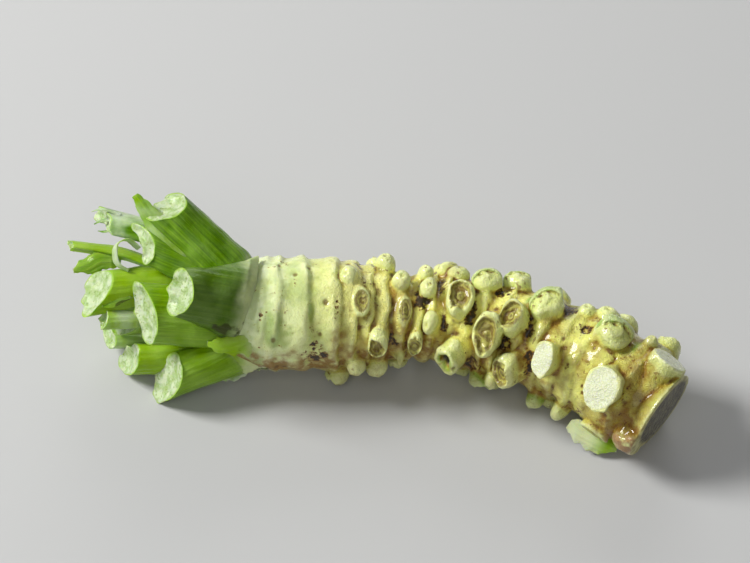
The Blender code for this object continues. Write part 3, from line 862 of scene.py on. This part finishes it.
class Stalk:
    """A stalk's path, its section's axes and its shape at any share from base to tip."""

    def __init__(self, row, seed):
        self.row = {**PLAIN, **row}
        self.seed = seed
        self.path = smooth_curve(row["path"], PATH_STEPS)
        self.length = np.linalg.norm(np.diff(self.path, axis=0), axis=1).sum()
        self.ahead = unit(np.gradient(self.path, axis=0))
        if "axis" in row:
            self.out = unit(np.cross(row["axis"], self.ahead))
        else:
            out = np.array(row["out"], float)
            self.out = unit(out - self.ahead * (self.ahead @ out)[:, None])
        self.across = np.cross(self.ahead, self.out)
        self.knife = unit(row.get("cut", self.ahead[-1]))
        slopes = (self.across[-1] @ self.knife, self.out[-1] @ self.knife)
        self.slant = np.array(slopes) / (self.ahead[-1] @ self.knife)

    def read(self, table, t):
        return read_table(table, np.linspace(0, 1, len(table)), t)

    def noise(self, points, size, seed, octaves=1):
        """Noise of this piece's own, one for each seed."""
        return noise(points, size, self.seed + seed, octaves)

    def place(self, t, across, depth):
        """Points in the tables' axes, and their distance across the section in mm."""
        row = self.row
        width, thick, wrap = (spread(row[key], t) for key in ("width", "thick", "wrap"))
        sideways, raised = crescent(across, depth, width, thick, wrap, row["horn"])
        sunk = row["rooted"] * smooth_step(ROOTED_SHARE, -0.05, t)
        slant = t**SLANT_POWER * (sideways * self.slant[0] + raised * self.slant[1])
        points = (
            self.read(self.path, t)
            + self.read(self.across, t) * sideways[..., None]
            + self.read(self.out, t) * (raised - sunk)[..., None]
            - self.read(self.ahead, t) * slant[..., None]
        )
        frayed = row["fray"] * (self.noise(points, 1.7, 8) + self.noise(points, 4, 9))
        return points + self.ahead[-1] * (frayed * smooth_step(0.85, 1, t))[..., None], sideways

    def details(self, points, sideways, depth, t):
        """Fine height on the sides: long ribs on the back, softer ones in the hollow, and dents."""
        ribs = np.cos(2 * math.pi * sideways / RIB_SPACING + 0.9 * self.noise(points, 6, 0))
        stretched = np.stack((sideways * 3, t * self.length * 0.25, depth * 0), axis=-1)
        fibres = self.noise(stretched, 1.6, 1)
        dents = self.noise(points, 4.5, 2)
        outer = 1 - 0.6 * depth
        height = RIB_HEIGHT * outer * (0.6 * ribs + 0.5 * fibres) + DENT_HEIGHT * dents
        return height * (0.3 + 0.7 * smooth_step(1, 0.985, t)) * self.row["detail"]

    def sides(self):
        """A grid of points along and around the sides, and what the skin's chart says at each."""
        t = np.linspace(0, 1, STALK_STEPS + 1) ** CROWDING
        across, depth = outline()
        t, across = np.meshgrid(t, across, indexing="ij")
        depth = np.broadcast_to(depth, t.shape)
        points, sideways = self.place(t, across, depth)
        height = self.details(points, sideways, depth, t)
        points = points + side_normals(points) * height[..., None]
        lip = LIP_WAVE * self.noise(points, 3.5, 4) * np.abs(across) ** 6
        lip *= smooth_step(0.1, 0.3, t) * smooth_step(1, 0.8, t)
        points = points + self.read(self.ahead, t) * lip[..., None]
        ragged = self.row["ragged"] * self.noise(points, 1.8, 7, octaves=2) * np.abs(across) ** 4
        points = points + self.read(self.across, t) * (ragged * np.sign(across))[..., None]
        low_front = smooth_step(0.2, -0.7, across) * smooth_step(0.75, 0.35, t)
        charts = dict(cut=0, edge=0, sideways=sideways, lengthwise=t * self.length, share=t,
                      hollow=depth, stain_and_shade=self.row["stain_and_shade"] * low_front)
        return points, charts

    def cut_face(self):
        """A grid of points over the cut tip, sunk in its middle, and what the skin's chart says."""
        across = np.linspace(-1, 1, BACK_STEPS + 1)
        depth = (1 - np.cos(np.linspace(0, math.pi, DEPTH_STEPS + 1))) / 2
        across, depth = np.meshgrid(across, depth, indexing="ij")
        points, sideways = self.place(np.ones_like(across), across, depth)
        edge = np.minimum(1 - np.abs(2 * depth - 1), 3 * (1 - np.abs(across)))
        grain = GRAIN_HEIGHT * self.noise(points, 0.9, 5, octaves=2)
        grain = grain + LUMP_HEIGHT * self.noise(points, 3.0, 6)
        dish = DISH_DEPTH * smooth_step(0.15, 0.9, edge)
        rim = RIM_HEIGHT * smooth_step(0.35, 0.1, edge)
        scale = self.row["detail"] * min(1, max(self.row["width"]) / 8)
        raised = smooth_step(0, 0.3, edge) * (grain + rim - dish) * scale
        charts = dict(cut=1, edge=edge, sideways=sideways, lengthwise=self.length, share=1,
                      hollow=depth, stain_and_shade=0)
        return points + self.knife * raised[..., None], charts


def side_faces(rows, columns):
    """Four-sided faces over a grid of points that closes on itself sideways."""
    i, j = np.meshgrid(np.arange(rows - 1), np.arange(columns), indexing="ij")
    beyond = (j + 1) % columns
    corners = (i * columns + j, i * columns + beyond, (i + 1) * columns + beyond, (i + 1) * columns + j)
    return np.stack(corners, axis=-1).reshape(-1, 4)


def tip_faces(rows, columns, first):
    """Four-sided faces over an open grid of points that are counted from first."""
    i, j = np.meshgrid(np.arange(rows - 1), np.arange(columns - 1), indexing="ij")
    corner = first + i * columns + j
    corners = (corner, corner + columns, corner + columns + 1, corner + 1)
    return np.stack(corners, axis=-1).reshape(-1, 4)


def make_stalk(row, seed):
    stalk = Stalk(row, seed)
    sides, side_charts = stalk.sides()
    tip, tip_charts = stalk.cut_face()
    side_shape = sides.shape[:2]
    tip_shape = tip.shape[:2]
    charts = {}
    for title, values in side_charts.items():
        on_sides = np.broadcast_to(values, side_shape).ravel()
        on_tip = np.broadcast_to(tip_charts[title], tip_shape).ravel()
        charts[title] = np.concatenate((on_sides, on_tip))
    points = np.concatenate((sides.reshape(-1, 3), tip.reshape(-1, 3)))
    for title in ("bloom", "pale", "lime", "painted_shade"):
        charts[title] = np.full(len(points), stalk.row[title])
    faces = np.concatenate((side_faces(*side_shape), tip_faces(*tip_shape, math.prod(side_shape))))
    return make_mesh(row["name"] + "_skin", points, faces, charts)


def side_normals(points):
    """Unit normals over a grid of points that closes on itself sideways."""
    along = np.gradient(points, axis=0)
    sideways = np.roll(points, -1, axis=1) - np.roll(points, 1, axis=1)
    return unit(np.cross(along, sideways) + TINY)


# ---- materials

# (along, colour) of the clean skin.
CROWN_TO_OLD_END = (
    (-8, (120, 140, 30)),
    (-1, (160, 176, 70)),
    (6, (208, 222, 150)),
    (14, (234, 245, 196)),
    (30, (232, 242, 164)),
    (42, (236, 234, 144)),
    (60, (247, 241, 132)),
    (90, (249, 246, 134)),
    (116, (236, 236, 130)),
    (130, (208, 202, 98)),
    (141, (190, 180, 86)),
)
LENGTH_START = -10.0  # the stretch along the root, in mm, that the colours above run over
FULL_LENGTH = 160.0
# The colour sockets of Blender's Mix node, which share their names with its number sockets.
MIX_SHARE, MIX_FIRST, MIX_SECOND, MIX_RESULT = 0, 6, 7, 2


def linear(red, green, blue):
    """A colour given as 0 to 255 on screen, as the shader's linear values."""
    values = np.array((red, green, blue)) / 255
    return tuple(np.where(values <= 0.04045, values / 12.92, ((values + 0.055) / 1.055) ** 2.4)) + (1.0,)


class Graph:
    """A material's nodes, each made with its inputs already joined.

    A colour is three numbers from 0 to 255, as on screen, or what another node gives.
    """

    def __init__(self, name):
        self.material = bpy.data.materials.new(name)
        self.material.use_nodes = True
        self.tree = self.material.node_tree
        self.shader = self.tree.nodes["Principled BSDF"]
        self.place = self.node("ShaderNodeTexCoord").outputs["Object"]
        self.colour = (0, 0, 0)

    def set(self, socket, value):
        if isinstance(value, bpy.types.NodeSocket):
            self.tree.links.new(value, socket)
        else:
            socket.default_value = value

    def node(self, kind, inputs=(), **settings):
        made = self.tree.nodes.new(kind)
        for key, value in settings.items():
            setattr(made, key, value)
        for key, value in dict(inputs).items():
            self.set(made.inputs[key], value)
        return made

    def shade(self, **inputs):
        for key, value in inputs.items():
            self.set(self.shader.inputs[key.replace("_", " ")], value)

    def chart(self, name):
        """One of the values that the mesh holds at its points."""
        return self.node("ShaderNodeAttribute", attribute_name=name).outputs["Fac"]

    def math(self, operation, first, second=0.0):
        return self.node("ShaderNodeMath", {0: first, 1: second}, operation=operation).outputs[0]

    def times(self, *factors):
        return reduce(partial(self.math, "MULTIPLY"), factors)

    def plus(self, *terms):
        return reduce(partial(self.math, "ADD"), terms)

    def step(self, low, high, value, most=1.0):
        """A smooth step from 0 at low to the given most at high."""
        inputs = {"Value": value, "From Min": low, "From Max": high, "To Max": most}
        return self.node("ShaderNodeMapRange", inputs, interpolation_type="SMOOTHSTEP").outputs["Result"]

    def mix(self, share, *pair):
        first, second = (linear(*value) if isinstance(value, tuple) else value for value in pair)
        inputs = {MIX_SHARE: share, MIX_FIRST: first, MIX_SECOND: second}
        return self.node("ShaderNodeMix", inputs, data_type="RGBA").outputs[MIX_RESULT]

    def paint(self, share, colour):
        """Lays a colour over the colour so far."""
        self.colour = self.mix(share, self.colour, colour)

    def ramp(self, value, stops):
        made = self.node("ShaderNodeValToRGB", {"Fac": value})
        elements = made.color_ramp.elements
        while len(elements) < len(stops):
            elements.new(0.5)
        for element, (place, colour) in zip(elements, stops):
            element.position = place
            element.color = linear(*colour)
        return made.outputs["Color"]

    def noise(self, size, detail, stretch=(1, 1, 1), place=None):
        """Noise from 0 to 1 with features of a size in metres, or in the given place's unit."""
        scale = [share / size for share in stretch]
        inputs = {0: self.place if place is None else place, 1: scale}
        scaled = self.node("ShaderNodeVectorMath", inputs, operation="MULTIPLY").outputs[0]
        inputs = {"Vector": scaled, "Scale": 1.0, "Detail": detail}
        return self.node("ShaderNodeTexNoise", inputs).outputs["Fac"]

    def bump(self, *layers):
        """The normal under layers of (height, distance in metres), each over the one before."""
        inputs = {}
        for height, distance in layers:
            inputs.update({"Height": height, "Distance": distance})
            inputs["Normal"] = self.node("ShaderNodeBump", inputs).outputs["Normal"]
        return inputs["Normal"]


class RhizomeGraph(Graph):
    """The rhizome's nodes, with the noises and charts that its layers share."""

    def __init__(self, name):
        super().__init__(name)
        self.broad = self.noise(0.006, 3)
        self.mottle = self.noise(0.0028, 4)
        self.fine = self.noise(0.0009, 3)
        self.speck = self.noise(0.0004, 2)
        self.stringy = self.noise(0.0008, 4, stretch=(1, 1, 0.35))
        self.crevice = self.chart("crevice")
        self.along = self.chart("along")
        self.worn = self.step(26, 50, self.along)  # 0 on the fresh crown and 1 past it
        self.brown = self.times(self.chart("brown"), self.step(0.26, 0.56, self.mottle))


def paint_bark(g):
    """The clean skin: pale at the crown, yellower along the root, paler and greener on its knobs, with
    painted shade underneath and in crevices and painted highlights on bulges.
    """
    share = g.math("DIVIDE", g.plus(g.along, -LENGTH_START), FULL_LENGTH)
    g.colour = g.ramp(share, [((mm - LENGTH_START) / FULL_LENGTH, colour) for mm, colour in CROWN_TO_OLD_END])
    g.paint(g.step(0.5, 0.7, g.broad, 0.3), (180, 196, 70))
    g.paint(g.step(0.55, 0.7, g.fine, 0.35), (206, 214, 120))
    g.paint(g.step(0.5, 0.72, g.mottle, 0.35), (232, 236, 156))
    g.paint(g.step(0.1, 0.9, g.chart("green_skin"), 0.7), (150, 182, 84))
    # Darker yellow-brown within 20 mm of the floor: partly brown staining, partly painted shade under the
    # root.
    height = g.node("ShaderNodeSeparateXYZ", {0: g.place}).outputs["Z"]
    g.paint(g.step(0.02, 0.003, height, 0.85), (160, 142, 14))
    # Paler on knobs, which is their own colour, and on bulges, which is a painted highlight.
    proud = g.plus(g.chart("knob"), g.times(g.crevice, -0.5))
    g.paint(g.step(0.3, 1.0, proud, 0.6), (222, 234, 144))
    g.paint(g.step(0.0, 1.0, g.chart("green"), 0.85), (138, 180, 50))
    g.paint(g.step(0.3, 1.0, g.chart("seam"), 0.7), (120, 96, 30))
    # Painted shade: darker yellow-green in the crevices between rings and knobs.
    g.paint(g.step(-0.15, 0.6, g.crevice, 0.6), (182, 188, 62))
    # Painted highlight: pale on the convex bulges.
    g.paint(g.step(0.1, 0.8, g.times(g.crevice, -1.0), 0.6), (236, 242, 178))


def paint_stains_and_shade(g):
    """Brown flecks, creases, lines, patches and pits, and the black crust over them. The brown patches along
    the lower side of the crown are partly painted shade.
    """
    flecks = g.times(g.step(0.62, 0.68, g.noise(0.0017, 1)), g.step(0.5, 0.62, g.broad))
    g.paint(g.times(flecks, g.worn, 0.7), (124, 84, 32))
    creases = g.times(g.step(-0.1, 0.6, g.crevice), g.worn, g.step(0.34, 0.56, g.broad))
    g.paint(g.times(creases, 0.65), (172, 118, 6))
    lines = g.times(g.step(0.1, 0.8, g.chart("groove")), g.step(0.4, 0.62, g.mottle))
    g.paint(g.times(lines, g.worn, 0.85), (96, 54, 4))
    # Brown patches; those along the lower side of the crown are partly painted shade.
    g.paint(g.times(g.brown, 0.9), (140, 94, 4))
    g.paint(g.step(0.3, 0.8, g.chart("pit"), 0.7), (104, 66, 24))
    crust = g.plus(
        g.times(g.chart("black"), 1.15),
        g.times(g.crevice, g.worn, 0.45),
        g.times(g.plus(g.mottle, -0.5), 3.2),
        g.times(g.plus(g.fine, -0.5), 2.6),
    )
    g.paint(g.step(0.6, 1.05, crust, 0.9), (120, 74, 4))
    g.paint(g.step(0.95, 1.3, crust, 0.95), (36, 24, 8))


def paint_tops(g):
    """What a knob ends in: a brown stub, a ringed scar, a fresh cut or a hole, whose dark is painted shade.
    """
    g.paint(g.times(g.chart("stub"), g.step(0.3, 0.55, g.mottle)), (164, 126, 80))
    rings = g.math("SINE", g.plus(g.times(g.chart("rings"), 15.0), g.times(g.mottle, 12.0)))
    ringed = g.mix(g.step(-0.6, 0.9, rings), (120, 98, 38), (182, 174, 80))
    g.paint(g.step(0.1, 0.9, g.chart("brown_top"), 0.8), ringed)
    pith = g.mix(g.step(0.4, 0.65, g.speck), (226, 232, 188), (240, 243, 218))
    g.paint(g.chart("cut"), pith)
    # Painted shade: dark olive in the knobs' holes, dents and dimples.
    g.paint(g.step(0.3, 0.8, g.chart("hole")), (58, 52, 20))


def paint_old_end(g):
    """The old knife cut: grey-brown fibres, darkened as painted shade because the face turns from the light,
    inside a paler rind.
    """
    # Painted shade: the fibres' colours are kept dark for the face's shaded side.
    fibres = g.mix(g.step(0.35, 0.7, g.stringy), (46, 42, 26), (120, 112, 78))
    fibres = g.mix(g.step(0.4, 0.7, g.broad, 0.6), fibres, (48, 42, 24))
    rind = g.mix(g.step(0.35, 0.65, g.mottle), (150, 140, 80), (206, 204, 140))
    g.paint(g.chart("old_end"), g.mix(g.chart("rim"), fibres, rind))


def rhizome_skin():
    g = RhizomeGraph("rhizome_skin")
    paint_bark(g)
    paint_stains_and_shade(g)
    paint_tops(g)
    paint_old_end(g)
    coarse = g.plus(g.worn, 0.45)
    grain = g.mix(g.chart("old_end"), g.times(g.speck, coarse), g.stringy)
    normal = g.bump(
        (g.times(g.mottle, coarse), 0.0004), (g.times(g.fine, coarse), 0.0003), (grain, 0.00025)
    )
    dull = g.math("MAXIMUM", g.brown, g.chart("old_end"))
    rough = g.plus(g.times(dull, 0.25), g.times(g.broad, 0.25), g.times(g.worn, 0.06), 0.1)
    g.shade(Base_Color=g.colour, Roughness=rough, Normal=normal)
    g.shade(Subsurface_Weight=0.25, Subsurface_Scale=0.0016, Subsurface_Radius=(1.0, 0.85, 0.2))
    g.shade(Coat_Weight=0.45, Coat_Roughness=0.08, IOR=1.42, Specular_Tint=(1.0, 0.95, 0.7, 1))
    return g.material


def stalk_pith(g, grain):
    """A leaf stalk's cut face: pale cells with darker strands, and green at its edge."""
    cells = g.step(0.35, 0.65, g.noise(0.0026, 4))
    pith = g.mix(cells, (154, 180, 110), (196, 209, 170))
    pith = g.mix(g.step(0.45, 0.7, grain, 0.3), pith, (214, 225, 194))
    strands = g.step(0.64, 0.72, g.noise(0.0009, 0), 0.6)
    pith = g.mix(strands, pith, (128, 154, 72))
    return g.mix(g.step(0.02, 0.14, g.chart("edge")), (152, 190, 70), pith)


def stalk_skin(name, green, lime):
    """A fresh leaf stalk: streaked green sides, whitish at the base, and a pale grainy cut face."""
    g = Graph(name)
    around = {"X": g.chart("sideways"), "Y": g.chart("lengthwise")}
    around = g.node("ShaderNodeCombineXYZ", around).outputs[0]
    streaks = g.noise(1.0, 3, stretch=(0.8, 0.05, 1), place=around)
    fibres = g.noise(1.0, 2, stretch=(3, 0.06, 1), place=around)
    patch = g.noise(0.007, 3)
    grain = g.noise(0.0006, 3)
    g.colour = g.mix(g.step(0.35, 0.7, streaks, 0.5), green, lime)
    g.paint(g.step(0.42, 0.7, patch, 0.5), lime)
    g.paint(g.step(0.52, 0.72, fibres, 0.4), (52, 86, 0))
    g.paint(g.step(0.48, 0.28, fibres, 0.4), (158, 196, 40))
    g.paint(g.chart("lime"), (152, 190, 0))
    # Painted shade: dark green over a piece's sides where they lie in shadow.
    g.paint(g.chart("painted_shade"), (56, 82, 0))
    fading = g.plus(g.chart("share"), g.times(g.plus(patch, -0.5), 0.5))
    g.paint(g.step(-0.05, 0.3, g.math("SUBTRACT", g.chart("pale"), fading), 0.95), (212, 222, 166))
    side = g.math("SUBTRACT", 1.0, g.chart("cut"))
    g.paint(g.times(g.chart("hollow"), side, 0.35), (150, 192, 10))
    g.paint(g.times(g.chart("bloom"), g.step(0.3, 0.7, patch)), (196, 212, 176))
    # Dark smear low on each base: partly dirt, partly painted shade where the stalks meet the crown and
    # around heart_membrane.
    smear_and_shade = g.plus(g.times(g.plus(g.noise(0.0035, 5), -0.5), 2.2), g.chart("stain_and_shade"))
    g.paint(g.step(0.66, 1.0, smear_and_shade, 0.85), (48, 48, 8))
    g.paint(g.chart("cut"), stalk_pith(g, grain))
    normal = g.bump((streaks, 0.0002), (patch, 0.0006), (grain, 0.00012))
    g.shade(Base_Color=g.colour, Roughness=0.28, Normal=normal)
    g.shade(Subsurface_Weight=0.3, Subsurface_Scale=0.003, Subsurface_Radius=(0.6, 1.0, 0.1))
    g.shade(Coat_Weight=0.14, Coat_Roughness=0.1, IOR=1.38)
    g.shade(Specular_IOR_Level=0.25, Specular_Tint=(0.7, 1.0, 0.25, 1))
    return g.material


# ---- putting it together

FIRST_PIECE_SEED = 100
PIECE_SEED_STEP = 10


def make_everything():
    """The rhizome, then every stalk and torn piece, all riding on the one body."""
    rhizome = make_rhizome()
    rhizome.data.materials.append(rhizome_skin())
    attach(rhizome, "root")
    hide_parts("rhizome")
    old_green = stalk_skin("stalk_skin", (84, 130, 0), (138, 184, 0))
    young_green = stalk_skin("young_stalk_skin", (112, 152, 30), (166, 192, 70))
    for index, row in enumerate(STALKS + TORN_PIECES + frayed_strands()):
        young = row["name"].startswith("young_leaf")
        piece = make_stalk(row, FIRST_PIECE_SEED + PIECE_SEED_STEP * index)
        piece.data.materials.append(young_green if young else old_green)
        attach(piece, "root")
        if row in STALKS:
            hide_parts(row["name"])


# ---- camera, lights and floor

FLOOR_SIZE = 3.0
FLOOR_COLOUR = (0.54, 0.54, 0.53, 1)
FLOOR_ROUGHNESS = 0.9
LENS = 85
CAMERA_TARGET = Vector((1.1, 21.0, 18.0)) * MM
CAMERA_ELEVATION = 48
CAMERA_DISTANCE = 522 * MM
# Lights: (name, where it stands from the object in metres, side in metres, watts).
LIGHTS = (
    ("window", (-1.3, 0.25, 1.15), 0.6, 34),
    ("back", (0.2, 1.4, 0.8), 0.8, 6),
    ("front", (-0.2, -1.4, 1.5), 1.4, 8),
)
SKY = (0.8, 0.82, 0.85, 1)
SKY_STRENGTH = 0.18


def make_floor():
    mesh = bpy.data.meshes.new("floor")
    half = FLOOR_SIZE / 2
    corners = ((-half, -half, 0), (half, -half, 0), (half, half, 0), (-half, half, 0))
    mesh.from_pydata(corners, [], [(0, 1, 2, 3)])
    paint = bpy.data.materials.new("floor_paper")
    paint.use_nodes = True
    shader = paint.node_tree.nodes["Principled BSDF"]
    shader.inputs["Base Color"].default_value = FLOOR_COLOUR
    shader.inputs["Roughness"].default_value = FLOOR_ROUGHNESS
    mesh.materials.append(paint)
    add_object("floor", mesh)


def make_lights():
    for name, place, side, watts in LIGHTS:
        lamp = bpy.data.lights.new(name, "AREA")
        lamp.size = side
        lamp.energy = watts
        light = add_object(name, lamp)
        light.location = place
        light.rotation_euler = (-Vector(place)).to_track_quat("-Z", "Y").to_euler()
    world = bpy.data.worlds.new("studio")
    world.use_nodes = True
    background = world.node_tree.nodes["Background"]
    background.inputs["Color"].default_value = SKY
    background.inputs["Strength"].default_value = SKY_STRENGTH
    bpy.context.scene.world = world


def make_camera():
    eye = bpy.data.cameras.new("camera")
    eye.lens = LENS
    camera = add_object("camera", eye)
    angle = math.radians(CAMERA_ELEVATION)
    back = Vector((0, -math.cos(angle), math.sin(angle)))
    camera.location = CAMERA_TARGET + CAMERA_DISTANCE * back
    camera.rotation_euler = (-back).to_track_quat("-Z", "Y").to_euler()
    bpy.context.scene.camera = camera


bpy.context.scene.view_settings.view_transform = "Standard"
make_everything()
make_floor()
make_lights()
make_camera()
